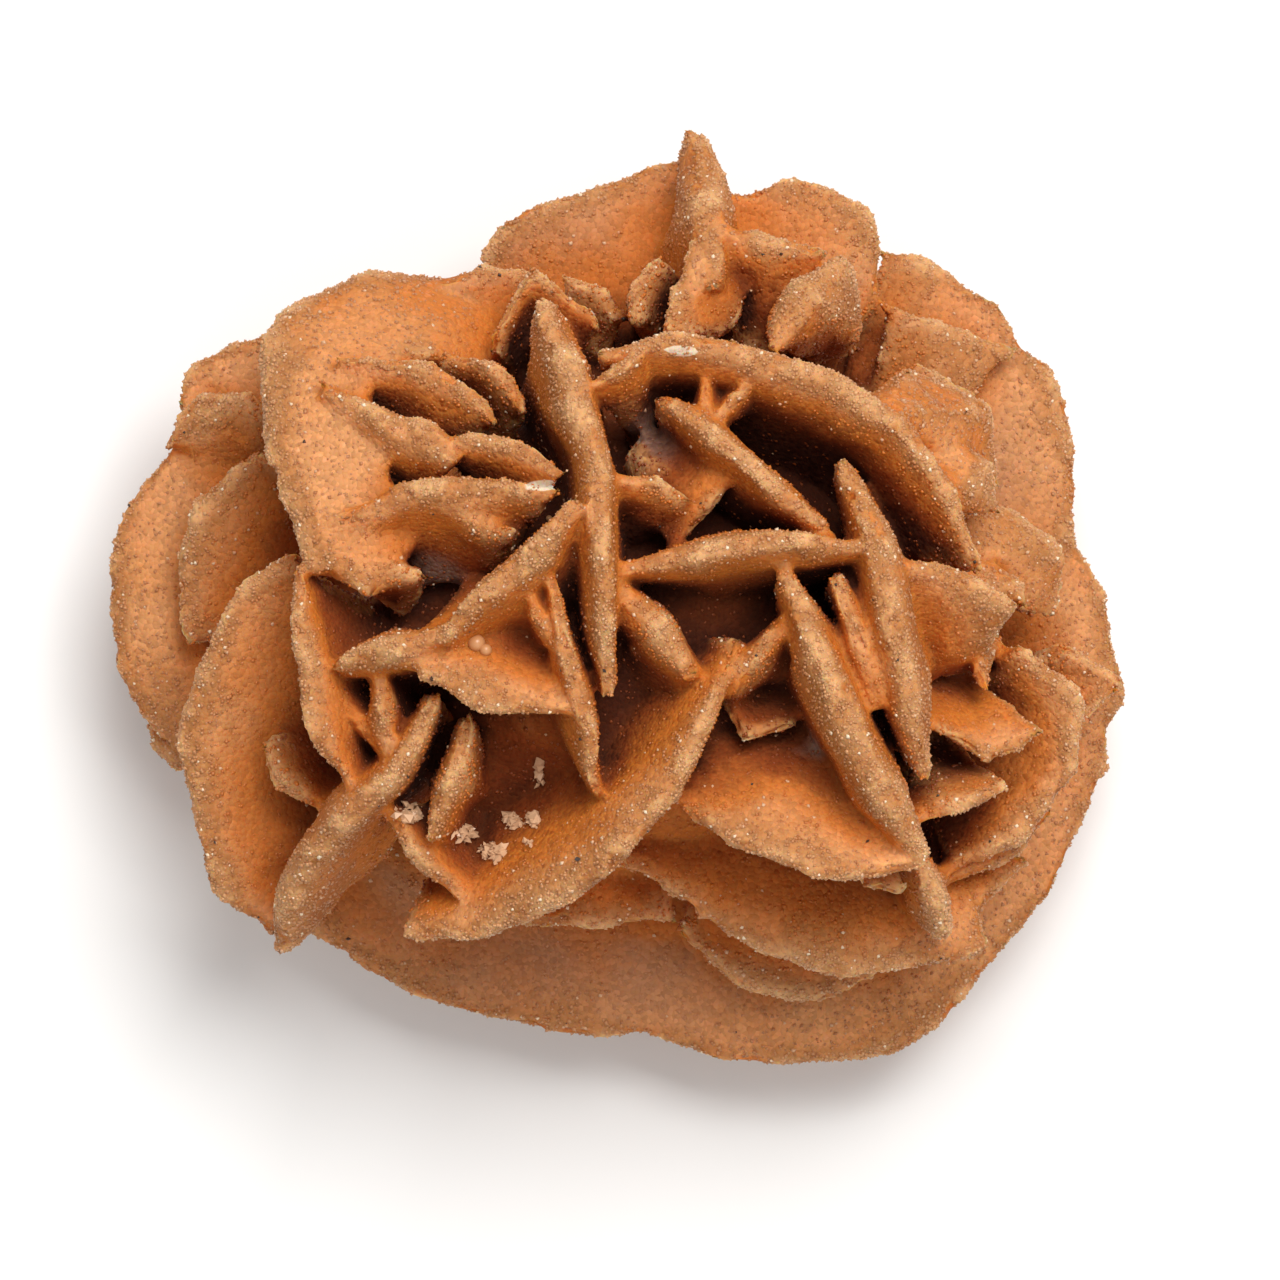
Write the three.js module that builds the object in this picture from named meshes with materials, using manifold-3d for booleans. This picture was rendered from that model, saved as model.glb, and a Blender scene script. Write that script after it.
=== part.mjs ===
// Gypsum sand rose: thin gypsum blades that grew through one another in desert sand.
// Millimetres, +Z up. The rose lies on its back with the rosette facing up. The origin is on the
// surface that it rests on, under the middle of its outline. Seen from above, +X is right, +Y is up.
import * as THREE from 'three';
import { mergeVertices } from 'three/addons/utils/BufferGeometryUtils.js';
import Module from 'manifold-3d';

const wasm = await Module();
wasm.setup();

// Driving dimensions
const RIM_SHARE = 0.45; // a blade's thickness at its rim, as a share of its full thickness
const TIP_SHARE = 0.55; // the rim's thickness at its two tips, as a share of that at its middle
const ROOT_SHARE = 0.45; // a blade's width at its root, as a share of the width of its rim
const RIM_STEP = 4.2; // length of one straight stretch of a rim
const LOBED_STEP = 2.4; // the same on the lobed rims that draw the outline
const FEWEST_STEPS = 2;
const MOST_STEPS = 40;
const LENS_ROWS = 2; // rows of faces from rim to root on a blade with a swelling side
const FLAT_ROWS = 1; // the same on the broad outer plates and on the blades of the sides
const ROW_CROWDING = 2.6; // over 1 crowds the rows of faces towards the rim
const FULL_DEPTH = 0.2; // share of the way from rim to root where a blade is at its full thickness
const TIP_CURVE = 3; // how late along the rim a blade thins towards its tips
const TIP_FULLNESS = 0.3; // how much of the swelling is left at the tips
const ROOT_SWELL = 2; // a blade's thickness at its root, as a share of its full thickness near the rim
const CORE_CENTRE = [-0.5, 0.4, 9]; // the solid heart that the blades grow out of
const CORE_RADII = [16.2, 13.7, 15];
const BACK_CENTRE = [-0.5, 0.3, 5.8]; // the flat body that carries the broad plates
const BACK_RADII = [23, 20, 5.2];
// Rings of blades round the sides and the back: how many, how far their rims stand from the middle, in
// turn near and far, and how high
const SIDE_RINGS = [
  { count: 8, reach: [16.8, 18.4], height: 11.8 },
  { count: 8, reach: [18, 20.5], height: 3 },
];
const SIDE_HALF_TURN = 0.27; // half the angle that one of these blades spans, in radians
const SIDE_TIP_DROP = 1.5; // how far their tips stand back, and above or below the middle of the rim
const SIDE_ROOT = { reach: 8, height: 7 };
const SIDE_OVAL = 0.87; // depth of the rings as a share of their width
const SIDE_THICK = 2.2;
const ROUND_SIDES = [14, 7]; // faces round the heart and up it
const GROUND_BLOCK = 120; // side of the block that cuts the broken, flat foot
const FOOT_HEIGHT = 0; // height of that cut

const ROSE_COLOUR = 0xb87a4b;
const ROSE_ROUGHNESS = 0.92;

// A blade's rim is a smooth curve through its points, each [x, y, height]. Its root is where the blade
// runs into the heart of the rose.
// The ridge of blades that stands highest, from the top of the middle down and out to the left
const spineBlades = [
  { rim: [[-4.9, 17.2, 23], [-3.6, 12.6, 27.5], [-2.2, 7.5, 28.5]], root: [-4, 11, 14], thick: 2.3 },
  {
    rim: [[-3.7, 14.8, 26], [-2.2, 8.5, 29.5], [-1.8, 4, 30.5], [-1.7, 0.8, 30], [-1.8, -3, 28]],
    root: [-3.2, 5, 15],
    thick: 2,
  },
  { rim: [[-5.8, 2.8, 28], [-5.2, 1.1, 28.4], [-4.7, -0.5, 28]], root: [-5.4, 1, 20], thick: 1.1 },
  {
    rim: [[-4.7, 3.5, 28.5], [-3.6, -1.5, 29], [-2.6, -5, 27.5], [-1.9, -7.7, 25.5]],
    root: [-4.2, -2, 16],
    thick: 1.5,
  },
  { rim: [[-3.1, 7.1, 30], [-6.5, 3.4, 30], [-10, 0, 27.5]], root: [-4.5, 1.5, 19], thick: 2 },
  { rim: [[-8.5, 0.9, 28], [-12, -0.2, 27.5], [-15.5, -1.2, 25]], root: [-11, -1, 19], thick: 1.7 },
  {
    rim: [[-12, -1, 26.5], [-10.2, -2.5, 27.5], [-8.3, -3.6, 28], [-6, -4.1, 28], [-3.7, -3.8, 27.5]],
    root: [-6.5, 2.5, 22],
    thick: 1.7,
  },
];

// Blades in the open middle, to the right of the ridge
const middleBlades = [
  {
    rim: [[0.7, 12.2, 26], [4.5, 9.6, 28.5], [7.5, 7, 28.5], [9.5, 5.3, 27.5]],
    root: [4.2, 7.4, 17],
    thick: 2,
  },
  { rim: [[3.1, 12.9, 26], [3.4, 11, 26.5]], root: [3, 11.5, 18], thick: 1.2 },
  { rim: [[5.3, 12.9, 26], [4, 10.8, 26.5]], root: [4.5, 11.5, 18], thick: 1.4 },
  { rim: [[5, 8.8, 26.2], [3.6, 6.6, 26.6], [1.4, 4.3, 26]], root: [0, 9.5, 22], thick: 1.5 },
  { rim: [[-1.6, 8.2, 28], [0.4, 8, 28.2], [2.3, 6.7, 27.3]], root: [-0.8, 5.2, 22], thick: 1.3 },
  {
    rim: [[-1.4, 3.6, 28], [3, 4.3, 29.5], [7.5, 5, 29.5], [11.7, 4.6, 28]],
    root: [5, 2.5, 17],
    thick: 1.8,
  },
  { rim: [[-1.3, 3.2, 28], [0.9, 1.2, 28.2], [2.7, -1.8, 27]], root: [-0.4, -1, 19], thick: 2.3 },
  { rim: [[2.9, 1, 22.5], [4.5, 3, 23]], root: [3.5, 3, 16], thick: 1.3 },
  { rim: [[7.2, 1.2, 27.2], [5.6, -0.9, 27.4], [4.1, -3, 26]], root: [6, -1.5, 17], thick: 2 },
];

// Slender leaves, and the broad plate that they lie on, between the ridge and the upper left
const upperLeftBlades = [
  {
    rim: [[-15.4, 14, 22], [-12, 14.3, 23.2], [-9.3, 13, 24], [-6.8, 10.8, 25]],
    root: [-11.4, 9.2, 19.3],
    thick: 1.3,
  },
  { rim: [[-16.1, 12.6, 23], [-12.5, 11.2, 25], [-8.8, 8.8, 26]], root: [-13, 7.8, 19.3], thick: 1.6 },
  { rim: [[-11.6, 11.1, 25], [-9.4, 10.1, 25.5]], root: [-11, 8.2, 20.5], thick: 1.1 },
  { rim: [[-9.4, 10.1, 25.5], [-7, 10.3, 26.5], [-3.9, 8.1, 28]], root: [-7.2, 6.2, 21.5], thick: 1.4 },
  { rim: [[-10.1, 14.3, 20.5], [-8, 14.4, 22], [-5.5, 11.3, 24]], root: [-8, 10, 16], thick: 1.4 },
  {
    rim: [[-15.6, 5.7, 24.5], [-13.7, 7.2, 25.5], [-10, 8, 26.5], [-6.8, 7.7, 28], [-3.9, 7.3, 28.5]],
    root: [-9.5, 3.6, 20.5],
    thick: 1.8,
  },
  { rim: [[-9.8, 6.8, 26.5], [-6, 5.1, 27]], root: [-7.5, 4, 20], thick: 1.5 },
  { rim: [[-13.8, 2.5, 24.4], [-12, 3.4, 24.9], [-10.4, 3.3, 24.8]], root: [-11.9, 1.8, 20], thick: 1.2 },
  {
    rim: [
      [-13.1, 1.7, 24.5], [-14.5, 1.7, 24.5], [-16.8, 4, 24], [-17.5, 6, 23.5], [-18.5, 9.5, 22.5],
      [-19.3, 12, 21], [-19.5, 14.5, 19.5], [-18.6, 16.3, 18], [-16.5, 17.4, 16.5], [-13.5, 18.6, 15],
      [-10.5, 18.4, 14], [-6, 17, 13],
    ],
    root: [-9, 9, 20.5],
    thick: 1.9,
  },
];

// Broad petals of the left side and the narrow blades that cross them
const leftBlades = [
  {
    rim: [
      [-17.3, 4.5, 21], [-20.3, 2.2, 19.5], [-21.9, -0.5, 18.5], [-23.1, -2.8, 17.5],
      [-23.6, -5.2, 16.5], [-22.5, -8.9, 15], [-21.9, -11.8, 14], [-21, -13.6, 13.5], [-18.4, -15, 12.5],
    ],
    root: [-13, -5, 13],
    thick: 2,
  },
  {
    rim: [
      [-17.2, 3.9, 24], [-17.1, 1.5, 24.8], [-17, -1.1, 25], [-16.8, -3, 25], [-16.3, -4.7, 24.7],
      [-15.3, -6.4, 24], [-14.4, -7.7, 23],
    ],
    root: [-12.5, -1, 17],
    thick: 1.6,
  },
  {
    rim: [[-19.1, -5, 18], [-18.8, -6.2, 18.5], [-17.1, -8, 19], [-15.5, -8.5, 19]],
    root: [-14.5, -4.5, 13.5],
    thick: 1.3,
  },
  {
    rim: [
      [-10, -2.6, 26], [-11.9, -5.6, 26], [-13, -6.9, 25.5], [-15, -8.7, 24], [-16.6, -11.3, 21.5],
      [-17.8, -13.6, 18.5], [-18.3, -16, 15],
    ],
    root: [-13.2, -8.6, 12],
    thick: 2.1,
  },
  { rim: [[-14.9, -2.5, 23.5], [-13, -5.6, 24]], root: [-13, -3, 18], thick: 1.1 },
  {
    rim: [[-12.9, -0.9, 25], [-12.8, -3.5, 25.5], [-12.7, -6, 24.5]],
    root: [-12.3, -3.5, 18],
    thick: 1.7,
  },
  { rim: [[-10.5, -2.5, 25.5], [-11, -5, 25.5]], root: [-10.3, -4, 19], thick: 1.2 },
  {
    rim: [[-8.7, -3.7, 25.5], [-9.4, -6.5, 25.5], [-9.9, -8.5, 25], [-10.3, -10.3, 23.5]],
    root: [-8.8, -7, 16],
    thick: 1.8,
  },
  {
    rim: [[-12.8, -8.5, 22.5], [-11.5, -11, 22.5], [-9.9, -12.2, 22.3], [-8.7, -12.8, 22]],
    root: [-8.5, -9, 17],
    thick: 1.7,
  },
];

// Petals that open downwards
const lowerPetals = [
  {
    rim: [
      [-12, -14.8, 20], [-9.9, -15, 21.5], [-6, -14.1, 24], [-4, -13, 25.5], [-1.6, -11.1, 27],
      [0, -9.8, 27.5], [1.3, -8.1, 28], [2.5, -5.4, 28], [4.1, -2.6, 27.5], [4.7, 0.2, 26.5],
    ],
    root: [-4, -3.5, 15],
    thick: 2,
  },
  {
    rim: [[1.2, -8, 25], [4.3, -10, 26.3], [7.5, -11.2, 26.8], [11.5, -11.9, 26.8], [13.9, -11.2, 26.3]],
    root: [7.5, -2, 18],
    thick: 1.8,
  },
  { rim: [[3.9, -2.9, 24.2], [5, -4.7, 24.5], [7.6, -4.2, 24.5]], root: [6.6, -0.5, 18], thick: 1.3 },
  { rim: [[10.6, -12.2, 22.5], [13.3, -12.6, 22.5]], root: [11.5, -8.5, 18], thick: 1.1 },
  {
    rim: [
      [-1.5, -11, 18.5], [0.8, -12.2, 18.5], [3.9, -14.5, 18], [6.5, -15.8, 17.7], [8.6, -16.7, 17.5],
      [10.8, -17.1, 17.3], [15, -16.2, 16.5], [17.9, -15.4, 15.5],
    ],
    root: [8, -5, 13],
    thick: 2,
  },
  {
    rim: [[-4.5, -14.2, 14], [-3, -14.7, 14], [-1, -14.4, 14], [0.5, -14.8, 14], [1.8, -14, 14]],
    root: [-1, -8, 12],
    thick: 1.6,
  },
  {
    rim: [
      [1.6, -14.6, 12], [3, -16, 11.8], [5.8, -18.5, 11.3], [7.7, -18.8, 11], [10.9, -17.4, 11],
      [13, -16.5, 11],
    ],
    root: [6, -10, 11],
    thick: 1.8,
  },
];

// The thick upright blades of the right side, the petals beside them and the shingles above
const rightBlades = [
  {
    rim: [[6.8, 3.5, 28], [9.5, -2, 30], [12, -7.5, 29], [14, -11.2, 26]],
    root: [9.5, -4, 16],
    thick: 2.5,
  },
  { rim: [[9.1, 3.6, 28.5], [10.6, 0.3, 29], [12, -3.4, 28]], root: [10.8, 0, 18], thick: 1.8 },
  {
    rim: [[10, 9.1, 26.5], [11.5, 4, 29.5], [13, -2, 29.5], [14.1, -7.1, 27]],
    root: [12, 1, 15],
    thick: 2.3,
  },
  {
    rim: [[12.7, 3.8, 27.5], [16.3, 3, 26.5], [18.4, 2.1, 25.5], [18.8, 1.6, 25]],
    root: [14.6, -1, 20],
    thick: 1.8,
  },
  { rim: [[16.5, -0.6, 22.4], [17, -2.9, 22.8]], root: [17.2, 0, 18], thick: 1.2 },
  {
    rim: [
      [18.8, 0, 20], [21.3, -2.1, 19.5], [22.3, -2.8, 19], [22.4, -5.5, 18.5], [20.9, -7.9, 18.5],
      [19, -10.1, 18.5], [17.5, -11.8, 18], [15.5, -11.6, 18],
    ],
    root: [15, -5, 14],
    thick: 1.8,
  },
  {
    rim: [[14, -4.1, 23.5], [16.2, -5.5, 23.5], [18.3, -6.3, 23], [20, -4.5, 22]],
    root: [14.6, -1.2, 17],
    thick: 1.2,
  },
  { rim: [[13.6, -9, 23.5], [15.7, -8.3, 23.5], [18.3, -7, 22.5]], root: [13.2, -4.6, 12.5], thick: 1.6 },
  { rim: [[13.7, -10.8, 23], [14.6, -13, 22], [15.2, -15.1, 20]], root: [14, -12, 15], thick: 1.7 },
  { rim: [[15.2, -12.2, 17], [18, -11.5, 16.5], [20.4, -8.6, 16]], root: [14, -6, 12], thick: 1.8 },
  { rim: [[15.4, -14.4, 14.5], [17.8, -13, 14.5], [19.4, -11, 14.5]], root: [13, -7, 11], thick: 1.8 },
  { rim: [[13.6, 14, 16], [17.2, 12.6, 15.5]], root: [8.5, 7, 14], thick: 1.6 },
  {
    rim: [[13.1, 13.8, 20], [16.7, 12.2, 19.5], [19, 10.1, 19], [18, 7.7, 18.5]],
    root: [12, 10.5, 23.3],
    thick: 1.6,
  },
  { rim: [[13, 13.7, 22], [15.1, 11.2, 22.6], [14.8, 9.4, 22.8]], root: [11.9, 10.8, 24.4], thick: 1.5 },
  {
    rim: [[14.8, 10.4, 21.8], [17.1, 9.1, 21.4], [17.9, 7.7, 21], [17.8, 6, 20.5]],
    root: [13.9, 7.2, 23.3],
    thick: 1.6,
  },
  {
    rim: [[18.3, 7, 15.5], [20.6, 5.6, 15], [20.8, 3.4, 14.5], [20.6, 0.9, 14]],
    root: [13.2, 4.6, 19.5],
    thick: 1.6,
  },
  { rim: [[18.1, 3.8, 18.5], [19.4, 2.7, 18], [19.5, 1.6, 18]], root: [13, 3, 20], thick: 1.4 },
  {
    rim: [[21.1, -0.2, 13.5], [23.5, -1.5, 13], [24.6, -2.8, 12.5], [22.5, -3.8, 12.5]],
    root: [18, -3, 9],
    thick: 1.7,
  },
];

// The arch over the middle, and the blades that stand above it
const upperBlades = [
  {
    rim: [
      [-2.8, 14, 26.5], [-1, 14.6, 27], [0.5, 14.8, 27.3], [3, 14.6, 27.3], [5.2, 14.3, 27],
      [7.2, 13.9, 26.6], [9.6, 12.6, 26.5], [11.2, 12, 26.5], [13.3, 10.1, 26.3], [14.8, 7.9, 25.7],
      [16.1, 5.3, 25], [16.7, 3.2, 24.5],
    ],
    root: [6.2, 7.6, 15],
    thick: 2,
  },
  { rim: [[-2.4, 12.5, 27], [-1.2, 13.3, 27.5], [0.1, 14.1, 27.5]], root: [0, 10, 19], thick: 1.3 },
  {
    rim: [[2.7, 25.7, 14.5], [3.1, 23.5, 16.5], [3.4, 21, 18.5], [3.6, 17.5, 20.5]],
    root: [3, 19, 9],
    thick: 2.7,
  },
  { rim: [[2.4, 20.3, 18.5], [1, 16.3, 21], [0.9, 15, 22]], root: [4.5, 16, 18], thick: 1.4 },
  { rim: [[3.6, 20.9, 18], [7.3, 20.3, 19], [9.3, 19.6, 19]], root: [6, 14.5, 15.5], thick: 1.6 },
  { rim: [[10.5, 19.2, 20.5], [8.6, 17, 23], [6.5, 14.5, 24.5]], root: [8.6, 15.5, 13], thick: 2.7 },
  { rim: [[1, 19.5, 17], [-0.7, 17.5, 18], [-0.5, 15.8, 19]], root: [1.6, 15.5, 11.5], thick: 1.6 },
  {
    rim: [[-7.4, 14.4, 19.5], [-7.4, 17, 19.5], [-5.2, 18.6, 19], [-3.3, 17, 19.5], [-2, 15.7, 20]],
    root: [-5, 13, 15],
    thick: 1.3,
  },
  { rim: [[-4, 18.5, 15], [-2.4, 18.1, 15], [-0.9, 16, 15.5]], root: [-3, 13.5, 10], thick: 1.6 },
  { rim: [[-11, 18, 15.5], [-8, 19, 15], [-5, 18.5, 15]], root: [-8, 14, 13], thick: 1.6 },
];

// The broad plates behind the rosette, which draw the outline of the rose
const outerPlates = [
  {
    rim: [
      [-22.3, 11, 9.8], [-24.6, 9.1, 9.5], [-26.3, 6, 9], [-27.1, 1.5, 9], [-26.3, -2, 9],
      [-25.1, -4.4, 8.5], [-23, -6, 8],
    ],
    root: [-14, 2, 10],
    thick: 2.2,
    step: LOBED_STEP,
    rows: FLAT_ROWS,
  },
  {
    rim: [
      [-19.3, 10, 14], [-21.4, 8.7, 13.5], [-22.6, 7, 13.3], [-23.3, 5.5, 13], [-23.4, 1.7, 12.5],
      [-22.8, -0.5, 12],
    ],
    root: [-14, 3, 11.5],
    thick: 1.8,
  },
  {
    rim: [
      [-24, 11.6, 10], [-23.5, 13.2, 10], [-22.9, 14.1, 10], [-21.6, 14.5, 10], [-20.3, 15.4, 10],
      [-18.5, 16, 10.5],
    ],
    root: [-15, 9, 10],
    thick: 2,
    step: LOBED_STEP,
    rows: FLAT_ROWS,
  },
  {
    rim: [[-24.2, 10, 10.5], [-23.9, 11.5, 11.5], [-22.5, 12.4, 12], [-19.5, 12.5, 12.5]],
    root: [-16, 8, 9.5],
    thick: 1.8,
  },
  { rim: [[-25.3, -4.3, 7], [-24.9, -6, 7], [-23.6, -7.1, 7]], root: [-17, -4, 8], thick: 1.7 },
  {
    rim: [
      [-18, -14.5, 7], [-16.1, -15.4, 7], [-13.7, -16.9, 7], [-10.4, -18.5, 7], [-7.6, -19.3, 7],
      [-6, -19.1, 7], [-3.1, -20.3, 7], [0.1, -20.1, 7], [3.1, -21.1, 7], [7, -21.8, 7], [8.8, -21.5, 7],
      [10.6, -21.7, 7], [12.7, -21.1, 7], [15.3, -19.5, 7], [17, -17.5, 7], [18.4, -15.8, 7],
      [20.4, -13.4, 7], [21.9, -10.7, 7], [23.1, -8.1, 7], [23.5, -6, 7], [23.5, -4, 7],
    ],
    root: [3, -4, 8],
    thick: 2.4,
    step: LOBED_STEP,
    rows: FLAT_ROWS,
  },
  {
    rim: [
      [20.8, 6, 7.5], [22, 4.6, 7.5], [23.3, 3.1, 7.5], [24.2, 0.7, 7.5], [24.1, -0.5, 7.5],
      [24.6, -3, 7.3], [23.5, -5, 7],
    ],
    root: [14, -1, 8],
    thick: 2,
    step: LOBED_STEP,
    rows: FLAT_ROWS,
  },
  {
    rim: [[12.2, 19.6, 8], [14.1, 19.4, 8], [16.2, 18.9, 8], [16.4, 18, 8]],
    root: [11, 12, 9],
    thick: 1.8,
  },
  {
    rim: [
      [16.2, 18, 8.5], [18.4, 16.8, 8.5], [19, 15.3, 8.5], [21.1, 13.5, 8], [21.6, 12, 8],
      [21.3, 10.4, 8], [22, 9.5, 8], [22, 6.5, 8], [21.9, 4.9, 8], [20.8, 3, 8],
    ],
    root: [12, 7, 9],
    thick: 2,
    step: LOBED_STEP,
    rows: FLAT_ROWS,
  },
  {
    rim: [
      [12.3, 17.2, 11.5], [14.1, 16, 11.5], [15.7, 15.5, 11.5], [16.2, 16.6, 11], [17.7, 16.9, 10.5],
      [19, 15, 10.5],
    ],
    root: [13, 10, 10],
    thick: 1.5,
  },
  {
    rim: [
      [1.3, 22, 11], [3.5, 22.5, 11.5], [6, 22.7, 11.5], [7.8, 23.4, 11.5], [9.5, 22.7, 11.5],
      [11, 22.4, 11.5], [12.4, 21.2, 11.5], [12.3, 19.5, 11.5], [12.2, 17.5, 12],
    ],
    root: [6, 13, 11],
    thick: 2.1,
    step: LOBED_STEP,
    rows: FLAT_ROWS,
  },
  {
    rim: [
      [-8.3, 19.4, 10.5], [-7, 21.3, 10.5], [-6, 22.1, 10.5], [-4.9, 22.3, 10.5], [-3.6, 22, 10.5],
      [-2.9, 22.6, 10.5], [-1.4, 23.4, 10.5], [0.1, 24, 10.5], [1.9, 24.4, 10.5], [2.6, 24.6, 10.5],
      [3.6, 23.6, 10.8],
    ],
    root: [-2, 13, 10.5],
    thick: 2.1,
    step: LOBED_STEP,
    rows: FLAT_ROWS,
  },
];

// Blades that fan out round the sides and the back, each with one tip higher than the other
function sideBlades({ count, reach, height }) {
  const rows = [];
  for (let i = 0; i < count; i++) {
    const turn = (i + 0.5) / count * 2 * Math.PI;
    const out = reach[i % 2];
    const lift = i % 3 - 1;
    const at = (angle, distance, z) => [
      CORE_CENTRE[0] + distance * Math.cos(angle),
      CORE_CENTRE[1] + SIDE_OVAL * distance * Math.sin(angle),
      z,
    ];
    rows.push({
      rim: [
        at(turn - SIDE_HALF_TURN, out - SIDE_TIP_DROP, height + lift - SIDE_TIP_DROP),
        at(turn, out, height + lift),
        at(turn + SIDE_HALF_TURN, out - SIDE_TIP_DROP, height + lift + SIDE_TIP_DROP),
      ],
      root: at(turn, SIDE_ROOT.reach, SIDE_ROOT.height),
      thick: SIDE_THICK,
      rows: FLAT_ROWS,
    });
  }
  return rows;
}

// A blade as a sheet between its rim and its root: a box whose length runs along the rim, whose height
// runs down to the root and whose depth is the blade's thickness
function bladeGeometry({ rim, root, thick, step = RIM_STEP, rows = LENS_ROWS }) {
  const spots = rim.map((spot) => new THREE.Vector3(...spot));
  const curve = new THREE.CatmullRomCurve3(spots, false, 'centripetal');
  const length = curve.getLength();
  const steps = THREE.MathUtils.clamp(Math.round(length / step), FEWEST_STEPS, MOST_STEPS);
  const edge = curve.getSpacedPoints(steps);
  const middle = edge[0].clone().lerp(edge[steps], 0.5);
  const footMiddle = new THREE.Vector3(...root);
  const foot = edge.map((spot) => spot.clone().sub(middle).multiplyScalar(ROOT_SHARE).add(footMiddle));
  const sheet = (i, depth) => edge[i].clone().lerp(foot[i], depth);

  const box = new THREE.BoxGeometry(1, 1, 1, steps, rows, 1);
  const corners = box.getAttribute('position');
  const p = new THREE.Vector3();
  for (let v = 0; v < corners.count; v++) {
    p.fromBufferAttribute(corners, v);
    const i = Math.round((p.x + 0.5) * steps);
    const depth = (0.5 - p.y) ** ROW_CROWDING;
    const side = Math.sign(p.z);
    const along = sheet(Math.min(i + 1, steps), depth).sub(sheet(Math.max(i - 1, 0), depth));
    const across = along.cross(foot[i].clone().sub(edge[i])).normalize();
    const fullness = 1 - (1 - TIP_FULLNESS) * Math.abs(2 * i / steps - 1) ** TIP_CURVE;
    const rimHalf = thick / 2 * RIM_SHARE * (TIP_SHARE + (1 - TIP_SHARE) * fullness);
    const fullHalf = thick / 2 * (1 + (ROOT_SWELL - 1) * depth);
    const half = rimHalf + (fullHalf - rimHalf) * Math.min(1, depth / FULL_DEPTH) * fullness;
    p.copy(sheet(i, depth)).addScaledVector(across, -side * half);
    corners.setXYZ(v, p.x, p.y, p.z);
  }
  return box;
}

function roundBody(radii, centre) {
  return new THREE.SphereGeometry(1, ...ROUND_SIDES)
    .rotateX(Math.PI / 2)
    .scale(...radii)
    .translate(...centre);
}

function groundGeometry() {
  return new THREE.BoxGeometry(GROUND_BLOCK, GROUND_BLOCK, GROUND_BLOCK)
    .translate(0, 0, FOOT_HEIGHT - GROUND_BLOCK / 2);
}

// A closed three.js geometry as a solid that can be joined and cut
function solidOf(geometry) {
  const bare = new THREE.BufferGeometry()
    .setAttribute('position', geometry.getAttribute('position'))
    .setIndex(geometry.index);
  const closed = mergeVertices(bare, 1e-4);
  return new wasm.Manifold(new wasm.Mesh({
    numProp: 3,
    vertProperties: closed.getAttribute('position').array,
    triVerts: new Uint32Array(closed.index.array),
  }));
}

function geometryOf(solid) {
  const mesh = solid.getMesh();
  return new THREE.BufferGeometry()
    .setAttribute('position', new THREE.BufferAttribute(mesh.vertProperties, 3))
    .setIndex(new THREE.BufferAttribute(mesh.triVerts, 1));
}

const blades = [
  ...spineBlades, ...middleBlades, ...upperLeftBlades, ...leftBlades, ...lowerPetals, ...rightBlades,
  ...upperBlades, ...outerPlates, ...SIDE_RINGS.flatMap(sideBlades),
];
const bodies = [roundBody(CORE_RADII, CORE_CENTRE), roundBody(BACK_RADII, BACK_CENTRE)];
const grown = [...bodies, ...blades.map(bladeGeometry)].map(solidOf);
const cut = wasm.Manifold.union(grown).subtract(solidOf(groundGeometry()));
// Pockets sealed between blades fill up, and crumbs cut loose at the foot fall away
const roseSolid = cut.decompose().sort((a, b) => b.volume() - a.volume())[0];

const roseGeometry = geometryOf(roseSolid);
roseGeometry.computeBoundingBox();
const middle = roseGeometry.boundingBox.getCenter(new THREE.Vector3());
roseGeometry.translate(-middle.x, -middle.y, -FOOT_HEIGHT);

const roseMaterial = new THREE.MeshStandardMaterial({
  color: ROSE_COLOUR, roughness: ROSE_ROUGHNESS, metalness: 0, flatShading: true,
});
const rose = new THREE.Mesh(roseGeometry, roseMaterial);
rose.name = 'sand_rose';

const part = new THREE.Group();
part.add(rose);

export default part;
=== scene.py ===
import math
from functools import cached_property

import bpy
import numpy as np
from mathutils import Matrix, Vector
from mathutils.bvhtree import BVHTree


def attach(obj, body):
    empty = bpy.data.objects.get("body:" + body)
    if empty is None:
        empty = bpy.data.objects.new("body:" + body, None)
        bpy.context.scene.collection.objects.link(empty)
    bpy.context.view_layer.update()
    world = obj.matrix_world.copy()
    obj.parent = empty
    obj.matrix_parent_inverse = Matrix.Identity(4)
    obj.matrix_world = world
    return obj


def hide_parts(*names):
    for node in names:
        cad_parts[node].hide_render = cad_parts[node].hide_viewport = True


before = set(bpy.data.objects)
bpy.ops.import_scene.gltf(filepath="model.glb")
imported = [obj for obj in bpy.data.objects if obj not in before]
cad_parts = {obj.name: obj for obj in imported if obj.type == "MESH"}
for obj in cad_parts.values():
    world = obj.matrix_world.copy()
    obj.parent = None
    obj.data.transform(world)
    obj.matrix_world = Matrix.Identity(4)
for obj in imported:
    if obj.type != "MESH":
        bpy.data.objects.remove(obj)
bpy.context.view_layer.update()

MM = 0.001
SEED = 11

# The rose's surface
WELD = 0.002 * MM
VOXEL = 0.17 * MM  # finer than the thinnest blade tip by far
ROUNDING_PASSES = 3
BODY_TRIANGLES = 196000
BEND_SIZE, BEND_DEPTH = 5.0 * MM, 0.9 * MM  # slow bends that take the straightness out of rims and faces
WAVE_SIZE, WAVE_DEPTH = 1.5 * MM, 1.1 * MM  # shorter ones that make the rims ragged
LUMP_SIZE, LUMP_DEPTH = 1.2 * MM, 0.2 * MM  # over the whole surface
CRUMB_SIZE, CRUMB_DEPTH = 0.45 * MM, 0.8 * MM  # on the rims
RIM_REACH = 14  # passes of averaging that tell a rim from a face
RIM_RISE = 0.18 * MM  # how far a full rim stands above that average
RIM_DRAW = 0.36 * MM  # how far each side of a rim is drawn in, which leaves it thin
DRAW_SHARE = 0.3  # and the most that is, as a share of the thickness there
HOLLOW_RAYS = 14
HOLLOW_REACH = 14.0 * MM

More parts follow.
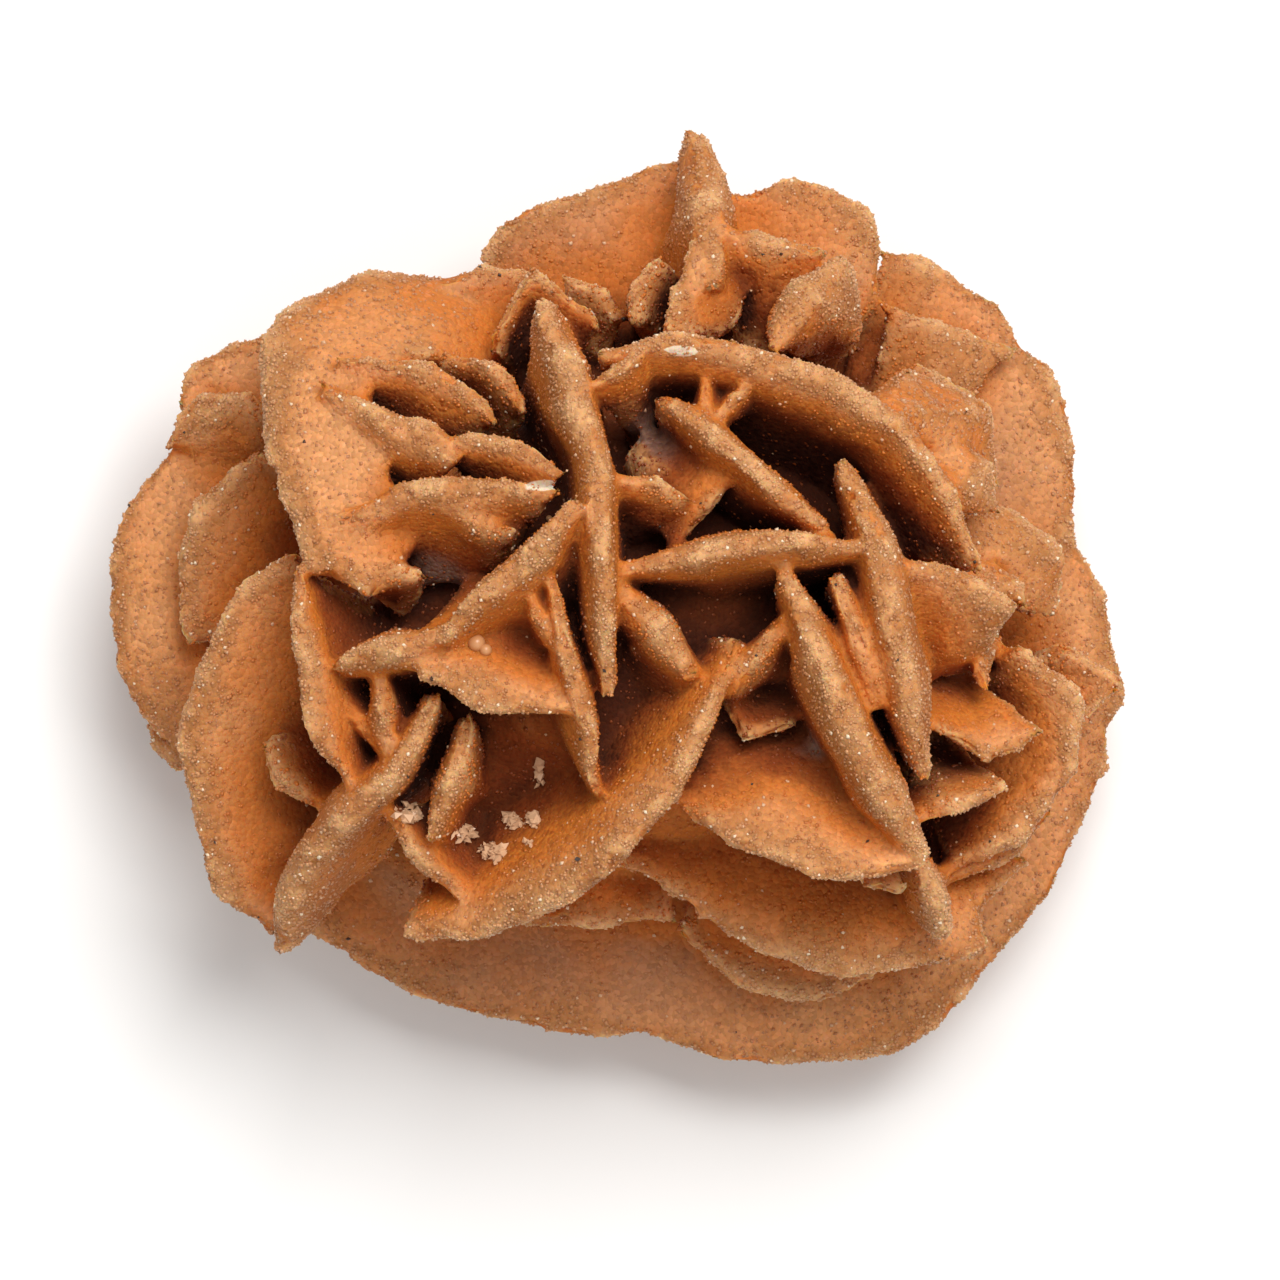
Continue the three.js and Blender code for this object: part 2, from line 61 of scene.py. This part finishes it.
# Sand grains
GRAIN_SIZE = (0.06 * MM, 0.14 * MM)  # radius, least and most
RIM_LIFT, FACE_LIFT = 0.0, -0.3  # height of a grain's middle above the surface, as a share of its radius
GRAINS_A_PIECE = 24000
CELL_SIZE = 0.23 * MM  # grains that are part of the body's finish
DOME_TILT = 0.55  # how far the normal leans out at a cell's width from a grain's middle
RIM_PIECES, FACE_PIECES = 2, 1
SALT_SIZE = (0.06 * MM, 0.32 * MM)
SALT_HEAPS = [  # pale crumbs in the hollow at the lower left: x, y, half width and half depth in mm, count
    (-10.25, -10.55, 0.7, 0.6, 60), (-7.6, -11.55, 0.6, 0.5, 70), (-6.1, -12.55, 0.75, 0.5, 130),
    (-5.1, -11.05, 0.6, 0.4, 80), (-4.1, -10.85, 0.5, 0.4, 60), (-3.85, -8.7, 0.2, 0.8, 45),
    (-4.3, -12.1, 0.25, 0.15, 16),
]
ROUND_GRAINS = [  # x, y and radius in mm
    (-6.95, -2.2, 0.43), (-6.5, -2.5, 0.3), (-4.15, 2.7, 0.17), (-3.35, 4.05, 0.16), (10.1, 3.8, 0.18),
]
DARK_SPECKS = [  # x and y in mm
    (-20.2, -12.1), (-0.6, -3.45), (4.15, 4.8), (-9.1, -3.85), (-1.9, -12.8), (12.4, -11.9), (8.2, 17.3),
]
SPECK_SIZE = 0.14 * MM
GLOSSY_FLAKES = [  # bare crystal on two rims, pale with a painted highlight: x, y, half width and half depth in mm
    (3.15, 12.3, 1.0, 0.32), (-3.5, 5.6, 1.5, 0.4),
]
DUSTY_WALLS = [  # grey, granular walls deep between the blades, given in the same way
    (0.9, 7.5, 1.9, 1.6), (-8.8, 1.5, 1.2, 1.0), (9.9, -7.2, 0.6, 0.7),
]

# The camera looks straight down on the rosette
VIEW_WIDTH = 64.0 * MM
VIEW_HEIGHT = 700.0 * MM
VIEW_PLANE = 18.0 * MM  # height above the floor at which the view is VIEW_WIDTH wide
VIEW_CENTRE = (1.15 * MM, -1.95 * MM)
SENSOR = 36.0


# Selecting and finishing

def select_only(piece):
    bpy.ops.object.select_all(action="DESELECT")
    piece.select_set(True)
    bpy.context.view_layer.objects.active = piece


def finish_with(piece, kind, **settings):
    """Adds a modifier with these settings and applies it."""
    select_only(piece)
    modifier = piece.modifiers.new(kind.lower(), kind)
    for name, value in settings.items():
        setattr(modifier, name, value)
    bpy.ops.object.modifier_apply(modifier=modifier.name)


def cloud(name, size, detail, coloured=False):
    """A cloudy texture whose lumps are of this size, for pushing a surface in and out."""
    texture = bpy.data.textures.new(name, "CLOUDS")
    texture.noise_basis = "IMPROVED_PERLIN"
    texture.noise_scale = size
    texture.noise_depth = detail
    texture.cloud_type = "COLOR" if coloured else "GRAYSCALE"
    return texture


# The rose's body

def rose_body():
    """The rose's solid with rounded rims, bent faces and a crumbly skin."""
    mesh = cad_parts["sand_rose"].data.copy()
    mesh.materials.clear()
    body = bpy.data.objects.new("rose_blades", mesh)
    bpy.context.scene.collection.objects.link(body)
    select_only(body)
    bpy.ops.object.mode_set(mode="EDIT")
    bpy.ops.mesh.select_all(action="SELECT")
    bpy.ops.mesh.remove_doubles(threshold=WELD)
    bpy.ops.object.mode_set(mode="OBJECT")

    finish_with(body, "REMESH", mode="VOXEL", voxel_size=VOXEL, use_smooth_shade=True)
    finish_with(body, "SMOOTH", factor=0.5, iterations=ROUNDING_PASSES)
    finish_with(
        body, "DISPLACE", texture=cloud("bends", BEND_SIZE, 0, coloured=True),
        direction="RGB_TO_XYZ", texture_coords="LOCAL", strength=BEND_DEPTH, mid_level=0.5,
    )
    finish_with(
        body, "DISPLACE", texture=cloud("lumps", LUMP_SIZE, 1),
        texture_coords="LOCAL", strength=LUMP_DEPTH, mid_level=0.5,
    )
    draw_rims_in(body)
    finish_with(
        body, "DISPLACE", texture=cloud("waves", WAVE_SIZE, 0, coloured=True), vertex_group="rims",
        direction="RGB_TO_XYZ", texture_coords="LOCAL", strength=WAVE_DEPTH, mid_level=0.5,
    )
    finish_with(
        body, "DISPLACE", texture=cloud("crumbs", CRUMB_SIZE, 1), vertex_group="rims",
        texture_coords="LOCAL", strength=CRUMB_DEPTH, mid_level=0.5,
    )
    body.data.calc_loop_triangles()
    share = BODY_TRIANGLES / len(body.data.loop_triangles)
    if share < 1:
        finish_with(body, "DECIMATE", ratio=share)
    spots = Surface(body).spots
    spots[:, 2] = np.maximum(spots[:, 2], 0)
    body.data.vertices.foreach_set("co", spots.ravel())
    body.data.update()
    select_only(body)
    bpy.ops.object.shade_smooth()
    return body


def draw_rims_in(body):
    """Marks the rims as a vertex group and makes them thinner."""
    skin = Surface(body)
    shares = np.clip(skin.rises(), 0, 1)
    mark(body, "rims", shares)
    for i in np.flatnonzero(shares > 0.05):
        inward = Vector(-skin.normals[i])
        start = Vector(skin.spots[i]) + inward * WELD
        through = skin.tree.ray_cast(start, inward, RIM_DRAW / DRAW_SHARE)[3]
        draw = RIM_DRAW if through is None else through * DRAW_SHARE
        skin.spots[i] += np.array(inward) * draw * shares[i]
    body.data.vertices.foreach_set("co", skin.spots.ravel())
    body.data.update()


class Surface:
    """A piece's vertices, normals, edges and triangles as arrays."""

    def __init__(self, piece):
        mesh = piece.data
        mesh.calc_loop_triangles()
        self.spots = self.read(mesh.vertices, "co", 3)
        self.normals = self.read(mesh.vertex_normals, "vector", 3)
        self.edges = self.read(mesh.edges, "vertices", 2, np.int32)
        self.triangles = self.read(mesh.loop_triangles, "vertices", 3, np.int32)

    @staticmethod
    def read(items, name, width, kind=np.float32):
        values = np.empty(len(items) * width, kind)
        items.foreach_get(name, values)
        return values.reshape(-1, width)

    def averaged(self, values, passes):
        """Values at the vertices, each averaged with its neighbours a number of times."""
        count = len(self.spots)
        first, second = self.edges.T
        shares = 1 + np.bincount(first, minlength=count) + np.bincount(second, minlength=count)
        values = values.reshape(count, -1).astype(float)
        for _ in range(passes):
            columns = [
                column
                + np.bincount(first, column[second], count)
                + np.bincount(second, column[first], count)
                for column in values.T
            ]
            values = np.stack(columns, 1) / shares[:, None]
        return values

    def rises(self):
        """How far each vertex stands above the surface round it: 1 on a rim, and more on a sharp crest."""
        rise = np.sum((self.spots - self.averaged(self.spots, RIM_REACH)) * self.normals, axis=1)
        return self.averaged(rise / RIM_RISE, 2)[:, 0]

    def slopes(self):
        """How steep the surface is at each vertex: 0 where it lies flat, 1 where it stands upright."""
        return 1 - np.abs(self.averaged(self.normals, 2)[:, 2])

    @cached_property
    def tree(self):
        return BVHTree.FromPolygons(self.spots.tolist(), self.triangles.tolist())

    def under(self, x, y):
        """The spot seen from above at this place in plan, and the normal there."""
        spot, normal, _, _ = self.tree.ray_cast(Vector((x, y, 1)), Vector((0, 0, -1)))
        return np.array(spot), np.array(normal)

    def patches(self, places):
        """How much each vertex belongs to one of these patches, from 0 to 1."""
        shares = np.zeros(len(self.spots))
        for x, y, width, depth in places:
            top, _ = self.under(x * MM, y * MM)
            away = (self.spots - top) / (width * MM, depth * MM, width * MM)
            shares = np.maximum(shares, 1.4 - np.linalg.norm(away, axis=1))
        return np.clip(shares, 0, 1)

    def hollows(self):
        """How closed in each vertex is by the blades round it, from 0 to 1."""
        starts = self.spots + self.normals * VOXEL
        closed = np.zeros(len(self.spots))
        turns = np.arange(HOLLOW_RAYS)
        heights = 1 - (turns + 0.5) / HOLLOW_RAYS * 0.95
        angles = turns * math.pi * (3 - math.sqrt(5))
        widths = np.sqrt(1 - heights ** 2)
        fan = np.stack([widths * np.cos(angles), widths * np.sin(angles), heights], 1)
        side = np.cross(self.normals, np.where(np.abs(self.normals[:, 2:]) < 0.9, [0, 0, 1], [1, 0, 0]))
        side /= np.linalg.norm(side, axis=1, keepdims=True)
        other = np.cross(self.normals, side)
        for ray in fan:
            ways = side * ray[0] + other * ray[1] + self.normals * ray[2]
            for i, (start, way) in enumerate(zip(starts.tolist(), ways.tolist())):
                if self.tree.ray_cast(start, way, HOLLOW_REACH)[0] is not None:
                    closed[i] += 1
        return np.clip(self.averaged(closed / HOLLOW_RAYS, 3)[:, 0], 0, 1)


def mark(piece, name, shares):
    """A vertex group of these shares, in steps of a sixteenth."""
    group = piece.vertex_groups.new(name=name)
    steps = np.rint(shares * 16).astype(int)
    for step in range(1, 17):
        group.add(np.flatnonzero(steps == step).tolist(), step / 16, "REPLACE")


def keep(piece, name, values):
    """Stores one number for each vertex, for the piece's finish to read."""
    attribute = piece.data.attributes.new(name, "FLOAT", "POINT")
    attribute.data.foreach_set("value", np.asarray(values, np.float32))


# Sand grains

def scatter(surface, weights, count, rng):
    """Points on a surface with their triangles, more of them where the weights at the vertices are high."""
    corners = surface.spots[surface.triangles]
    areas = np.linalg.norm(np.cross(corners[:, 1] - corners[:, 0], corners[:, 2] - corners[:, 0]), axis=1)
    chance = areas * weights[surface.triangles].mean(1)
    chosen = rng.choice(len(chance), count, p=chance / chance.sum())
    mix = rng.random((count, 2))
    mix = np.where(mix.sum(1, keepdims=True) > 1, 1 - mix, mix)
    parts = np.stack([1 - mix.sum(1), mix[:, 0], mix[:, 1]], 1)
    return chosen, parts


def turned(count, rng):
    """Random rotations as matrices."""
    x, y, z, w = (rng.normal(size=(4, count)) + 1e-9)
    length = np.sqrt(x * x + y * y + z * z + w * w)
    x, y, z, w = x / length, y / length, z / length, w / length
    rows = [
        [1 - 2 * (y * y + z * z), 2 * (x * y - z * w), 2 * (x * z + y * w)],
        [2 * (x * y + z * w), 1 - 2 * (x * x + z * z), 2 * (y * z - x * w)],
        [2 * (x * z - y * w), 2 * (y * z + x * w), 1 - 2 * (x * x + y * y)],
    ]
    return np.array(rows).transpose(2, 0, 1)


def grain_piece(name, centres, radii, tones, rng, squat=(0.7, 1.25)):
    """One mesh of many small grains, each with six corners and eight faces."""
    corners = np.array([[1, 0, 0], [0, 1, 0], [-1, 0, 0], [0, -1, 0], [0, 0, 1], [0, 0, -1]])
    faces = np.array([[i, (i + 1) % 4, 4] for i in range(4)] + [[(i + 1) % 4, i, 5] for i in range(4)])
    count = len(centres)
    shapes = corners * rng.uniform(*squat, (count, 1, 3)) * radii[:, None, None]
    shapes = np.einsum("nij,nkj->nki", turned(count, rng), shapes) + centres[:, None, :]
    index = (faces + np.arange(count)[:, None, None] * len(corners)).reshape(-1, 3)
    mesh = bpy.data.meshes.new(name)
    mesh.vertices.add(count * len(corners))
    mesh.vertices.foreach_set("co", shapes.astype(np.float32).ravel())
    mesh.loops.add(index.size)
    mesh.loops.foreach_set("vertex_index", index.astype(np.int32).ravel())
    mesh.polygons.add(len(index))
    mesh.polygons.foreach_set("loop_start", np.arange(0, index.size, 3, dtype=np.int32))
    mesh.update(calc_edges=True)
    piece = bpy.data.objects.new(name, mesh)
    bpy.context.scene.collection.objects.link(piece)
    keep(piece, "tone", np.repeat(tones, len(corners)))
    return piece


def sand_grains(name, surface, weights, lift, count, rng):
    """Grains half sunk in the surface, each with a tone of its own."""
    chosen, parts = scatter(surface, weights, count, rng)
    at = surface.triangles[chosen]
    spots = np.sum(surface.spots[at] * parts[:, :, None], 1)
    ways = np.sum(surface.normals[at] * parts[:, :, None], 1)
    radii = rng.uniform(*GRAIN_SIZE, count)
    tones = rng.random(count)
    return grain_piece(name, spots + ways * radii[:, None] * lift, radii, tones, rng), at, parts


def stray_grains(surface, rng):
    """Heaps of white crumbs and single dark grains that lie on the rose."""
    centres, radii, tones = [], [], []
    least, most = SALT_SIZE
    for x, y, width, depth, count in SALT_HEAPS:
        for across, along in rng.normal(0, 0.4, (count, 2)):
            spot, normal = surface.under((x + across * width) * MM, (y + along * depth) * MM)
            centres.append(spot + normal * rng.uniform(0, 0.15) * MM)
            radii.append(least + (most - least) * rng.random() ** 3)
            tones.append(rng.uniform(0.975, 0.998))
    for x, y in DARK_SPECKS:
        spot, normal = surface.under(x * MM, y * MM)
        centres.append(spot + normal * SPECK_SIZE * 0.2)
        radii.append(SPECK_SIZE)
        tones.append(1.0)
    sharp = (0.45, 1.5)
    piece = grain_piece("stray_grains", np.array(centres), np.array(radii), np.array(tones), rng, sharp)
    select_only(piece)
    bpy.ops.object.shade_flat()
    return piece


def round_grains(surface):
    """A few clear, rounded grains that stick to the rose."""
    made = []
    for x, y, radius in ROUND_GRAINS:
        spot, normal = surface.under(x * MM, y * MM)
        centre = spot + normal * radius * MM * 0.4
        bpy.ops.mesh.primitive_ico_sphere_add(subdivisions=3, radius=radius * MM, location=centre)
        bpy.ops.object.shade_smooth()
        made.append(bpy.context.object)
    bpy.ops.object.select_all(action="DESELECT")
    for grain in made:
        grain.select_set(True)
    bpy.ops.object.join()
    piece = bpy.context.object
    piece.name = "round_grains"
    bpy.ops.object.transform_apply()
    keep(piece, "tone", np.full(len(piece.data.vertices), 0.9))
    return piece


# Finishes

class Finish:
    """A socket in a material's nodes. Sums and products of sockets add Math nodes."""

    def __init__(self, tree, socket=None):
        self.tree = tree
        self.socket = socket

    def node(self, kind, settings=None, inputs=None, output=0):
        """Any node: its type, its settings, then the values or links of its sockets."""
        made = self.tree.nodes.new(kind)
        for name, value in (settings or {}).items():
            setattr(made, name, value)
        for name, value in (inputs or {}).items():
            if isinstance(value, Finish):
                self.tree.links.new(value.socket, made.inputs[name])
            else:
                made.inputs[name].default_value = value
        return Finish(self.tree, made.outputs[output])

    def math(self, operation, *values):
        return self.node("ShaderNodeMath", {"operation": operation}, dict(enumerate(values)))

    def __add__(self, other):
        return self.math("ADD", self, other)

    def __radd__(self, other):
        return self.math("ADD", other, self)

    def __sub__(self, other):
        return self.math("SUBTRACT", self, other)

    def __rsub__(self, other):
        return self.math("SUBTRACT", other, self)

    def __mul__(self, other):
        return self.math("MULTIPLY", self, other)

    def __rmul__(self, other):
        return self.math("MULTIPLY", other, self)

    def between(self, low, high):
        """0 below low, 1 above high, and a smooth step between them."""
        return self.node(
            "ShaderNodeMapRange", {"interpolation_type": "SMOOTHSTEP"},
            {"Value": self, "From Min": low, "From Max": high},
        )

    def blend(self, first, second):
        """Two colours mixed by this socket."""
        return self.node("ShaderNodeMix", {"data_type": "RGBA"}, {0: self, 6: first, 7: second}, 2)

    def shade(self, factor):
        """This colour made lighter or darker."""
        return self.node("ShaderNodeVectorMath", {"operation": "SCALE"}, {0: self, "Scale": factor})

    def kept(self, name):
        """A number that a piece stores at its vertices."""
        return self.node("ShaderNodeAttribute", {"attribute_name": name}, output=2)

    def coordinates(self):
        return self.node("ShaderNodeTexCoord", output=3)


def new_finish(name, **constants):
    """A material with a plain shader: its node tree and its shader's sockets."""
    material = bpy.data.materials.new(name)
    material.use_nodes = True
    shader = material.node_tree.nodes["Principled BSDF"]
    for socket, value in constants.items():
        shader.inputs[socket.replace("_", " ")].default_value = value
    return material, Finish(material.node_tree), shader


def wire(finish, shader, **links):
    for socket, value in links.items():
        finish.tree.links.new(value.socket, shader.inputs[socket.replace("_", " ")])


GOLD = (0.43, 0.162, 0.046, 1)
CREST_HIGHLIGHT = (0.71, 0.390, 0.176, 1)
ORANGE_AND_GLOW = (0.55, 0.150, 0.016, 1)
TAN = (0.40, 0.176, 0.084, 1)
OUTER_GLOW = (0.66, 0.300, 0.118, 1)
STEEP_SHADE_BROWN = (0.30, 0.088, 0.018, 1)
RED_BROWN_SHADE = (0.25, 0.050, 0.008, 1)
NEAR_BLACK_SHADE = (0.06, 0.012, 0.004, 1)
BARE_CRYSTAL_GLINT = (0.80, 0.62, 0.45, 1)
DUST = (0.28, 0.145, 0.10, 1)
SALT = (0.66, 0.40, 0.23, 1)
GLINT_WHITE = (0.84, 0.68, 0.48, 1)


def sandy_gypsum():
    """Sand-filled gypsum: golden on the rims, orange on the faces, grained all over; painted glow on steep faces,
    part-closed hollows and outer plates, painted shade darkening the steepest sides and the deeper hollows to
    red-brown and near black, and painted highlights on crests and flakes.
    """
    material, start, shader = new_finish(
        "sandy_gypsum", Subsurface_Weight=0.6, Subsurface_Radius=(1.0, 0.4, 0.13), Subsurface_Scale=1.5 * MM,
        Specular_IOR_Level=0.2,
    )
    place = start.coordinates()
    rim = start.kept("rim")
    hollow = start.kept("hollow")
    slope = start.kept("slope")
    outward = start.node("ShaderNodeVectorMath", {"operation": "LENGTH"}, {0: place}, 1)
    patches = start.node("ShaderNodeTexNoise", None, {"Vector": place, "Scale": 210.0, "Detail": 3.0})
    cells = {"Vector": place, "Scale": 1 / CELL_SIZE, "Randomness": 1.0}
    grain_tone = start.node("ShaderNodeTexVoronoi", None, cells, 1)
    grain_centre = start.node("ShaderNodeTexVoronoi", None, cells, 2)
    tone = start.node("ShaderNodeSeparateColor", None, {0: grain_tone})

    # painted glow: the outer plates paler, standing in for light shining through their thin edges
    face = outward.between(19 * MM, 26 * MM).blend(TAN, OUTER_GLOW)
    face = (patches.between(0.35, 0.75) * 0.3).blend(face, ORANGE_AND_GLOW)
    # painted glow: steeper faces a brighter orange, standing in for light passing through the blades
    face = (slope.between(0.18, 0.5) * 0.85).blend(face, ORANGE_AND_GLOW)
    # painted shade: the steepest sides darker brown
    face = (slope.between(0.45, 0.9) * 0.8).blend(face, STEEP_SHADE_BROWN)
    # painted glow: part-closed hollows a brighter orange
    face = (hollow.between(0.25, 0.55) * 0.85).blend(face, ORANGE_AND_GLOW)
    # painted shade: deeper hollows red-brown and the deepest near black
    face = hollow.between(0.50, 0.76).blend(face, RED_BROWN_SHADE)
    face = hollow.between(0.70, 0.90).blend(face, NEAR_BLACK_SHADE)
    face = start.kept("dust").blend(face, DUST)
    colour = (rim.between(0.35, 1.0) * 0.8).blend(face, GOLD)
    # painted highlight: the sharpest crests paler
    colour = (start.kept("crest") * 0.8).blend(colour, CREST_HIGHLIGHT)
    colour = colour.shade(0.86 + 0.28 * tone)
    # the flake patches: pale bare crystal with a painted glint
    flake = (start.kept("flake") * (0.4 + 1.2 * patches)).between(0.45, 0.6)
    colour = flake.blend(colour, BARE_CRYSTAL_GLINT)

    lumps = start.node("ShaderNodeTexNoise", None, {"Vector": place, "Scale": 2600.0, "Detail": 2.0})
    relief = start.node(
        "ShaderNodeBump", None,
        {"Strength": 0.8, "Distance": 0.04 * MM, "Height": lumps},
    )
    rough = 0.66 - 0.36 * tone.between(0.86, 0.97) * (1 - hollow) + 0.3 * hollow - 0.3 * flake
    domes = start.node("ShaderNodeVectorMath", {"operation": "SUBTRACT"}, {0: place, 1: grain_centre})
    tilt = start.node(
        "ShaderNodeVectorMath", {"operation": "SUBTRACT"}, {0: grain_tone, 1: (0.5, 0.5, 0.5)},
    )
    rounded = start.node(
        "ShaderNodeVectorMath", {"operation": "MULTIPLY_ADD"},
        {0: domes, 1: (DOME_TILT / CELL_SIZE,) * 3, 2: relief},
    )
    facets = start.node(
        "ShaderNodeVectorMath", {"operation": "MULTIPLY_ADD"},
        {0: tilt, 1: (0.36, 0.36, 0.36), 2: rounded},
    )
    normal = start.node("ShaderNodeVectorMath", {"operation": "NORMALIZE"}, {0: facets})
    wire(start, shader, Base_Color=colour, Roughness=rough, Normal=normal)
    return material


def loose_grain():
    """Sand grains, clear gold to white, a few of them dark, with painted highlights on crests, painted glints on
    a few rim grains, and painted glow and shade in hollows.
    """
    material, start, shader = new_finish("loose_grain", Specular_IOR_Level=0.5, Roughness=0.3)
    tone = start.kept("tone")
    hollow = start.kept("hollow")
    on_rim = tone.blend((0.40, 0.150, 0.046, 1), (0.56, 0.265, 0.110, 1))
    on_face = tone.blend((0.40, 0.155, 0.054, 1), (0.52, 0.225, 0.092, 1))
    colour = start.kept("rim").between(0.1, 0.8).blend(on_face, on_rim)
    # painted highlight: grains on the sharpest crests paler
    colour = (start.kept("crest") * (0.5 + 0.4 * tone)).blend(colour, CREST_HIGHLIGHT)
    # painted glow and painted shade: grains in part-closed hollows orange, in deeper ones red-brown
    colour = hollow.between(0.25, 0.5).blend(colour, ORANGE_AND_GLOW)
    colour = hollow.between(0.50, 0.76).blend(colour, RED_BROWN_SHADE)
    # painted glints: a few rim grains near white
    colour = (tone.between(0.945, 0.95) * start.kept("rim")).blend(colour, GLINT_WHITE)
    colour = tone.between(0.97, 0.975).blend(colour, SALT)
    colour = tone.between(0.9985, 0.9986).blend(colour, (0.05, 0.03, 0.02, 1))
    wire(start, shader, Base_Color=colour)
    return material


# Building the rose

rng = np.random.default_rng(SEED)
body = rose_body()
skin = Surface(body)
rises = skin.rises()
rim_share = np.clip(rises, 0, 1)
hollow_share = skin.hollows()
keep(body, "rim", rim_share)
crest_share = np.clip(1.4 * (rises - 0.9), 0, 1)
keep(body, "crest", crest_share)
keep(body, "hollow", hollow_share)
keep(body, "slope", skin.slopes())
keep(body, "flake", skin.patches(GLOSSY_FLAKES))
keep(body, "dust", skin.patches(DUSTY_WALLS))
body.data.materials.append(sandy_gypsum())

grain_finish = loose_grain()
pieces = [body]
off_floor = skin.spots[:, 2] > 2 * GRAIN_SIZE[1]
rim_weights = rim_share ** 1.5 * (1 - 0.6 * hollow_share) * off_floor
face_weights = ((1 - rim_share) * (1 - 0.8 * hollow_share) + 0.02) * off_floor
for kind, weights, lift, count in [
    ("rim", rim_weights, RIM_LIFT, RIM_PIECES), ("face", face_weights, FACE_LIFT, FACE_PIECES),
]:
    for number in range(count):
        name = f"{kind}_grains_{number + 1}"
        grains, at, parts = sand_grains(name, skin, weights, lift, GRAINS_A_PIECE, rng)
        for share, values in [("rim", rim_share), ("crest", crest_share), ("hollow", hollow_share)]:
            keep(grains, share, np.repeat(np.sum(values[at] * parts, 1), 6))
        grains.data.materials.append(grain_finish)
        pieces.append(grains)

for grains in [stray_grains(skin, rng), round_grains(skin)]:
    keep(grains, "hollow", np.zeros(len(grains.data.vertices)))
    keep(grains, "rim", np.ones(len(grains.data.vertices)))
    grains.data.materials.append(grain_finish)
    pieces.append(grains)

for piece in pieces:
    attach(piece, "root")
    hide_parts("sand_rose")


# Floor, light and camera

def pale_floor():
    bpy.ops.object.select_all(action="DESELECT")
    bpy.ops.mesh.primitive_plane_add(size=8)
    floor = bpy.context.object
    floor.name = "floor"
    material, _, _ = new_finish("pale_floor", Base_Color=(0.9, 0.9, 0.9, 1), Roughness=0.7)
    floor.data.materials.append(material)


def soft_light(name, place, width, power, colour=(1, 1, 1)):
    """A square soft light that faces the rose."""
    lamp = bpy.data.lights.new(name, "AREA")
    lamp.size = width
    lamp.energy = power
    lamp.color = colour
    light = bpy.data.objects.new(name, lamp)
    bpy.context.scene.collection.objects.link(light)
    light.location = place
    light.rotation_euler = (Vector((0, 0, 0.015)) - Vector(place)).to_track_quat("-Z", "Y").to_euler()
    light.visible_camera = False


pale_floor()
soft_light("key", (0.12, 0.28, 0.58), 0.36, 4.3, (1.0, 0.985, 0.96))
soft_light("fill", (0.10, -0.34, 0.50), 0.50, 0.7, (1.0, 0.95, 0.88))
world = bpy.data.worlds.new("white_room")
world.use_nodes = True
world.node_tree.nodes["Background"].inputs["Color"].default_value = (1, 1, 1, 1)
world.node_tree.nodes["Background"].inputs["Strength"].default_value = 0.43
bpy.context.scene.world = world
bpy.context.scene.view_settings.view_transform = "Standard"

camera_data = bpy.data.cameras.new("camera")
camera_data.sensor_width = SENSOR
camera_data.lens = SENSOR * VIEW_HEIGHT / VIEW_WIDTH
camera_data.clip_end = 20
camera = bpy.data.objects.new("camera", camera_data)
bpy.context.scene.collection.objects.link(camera)
camera.location = (*VIEW_CENTRE, VIEW_PLANE + VIEW_HEIGHT)
bpy.context.scene.camera = camera
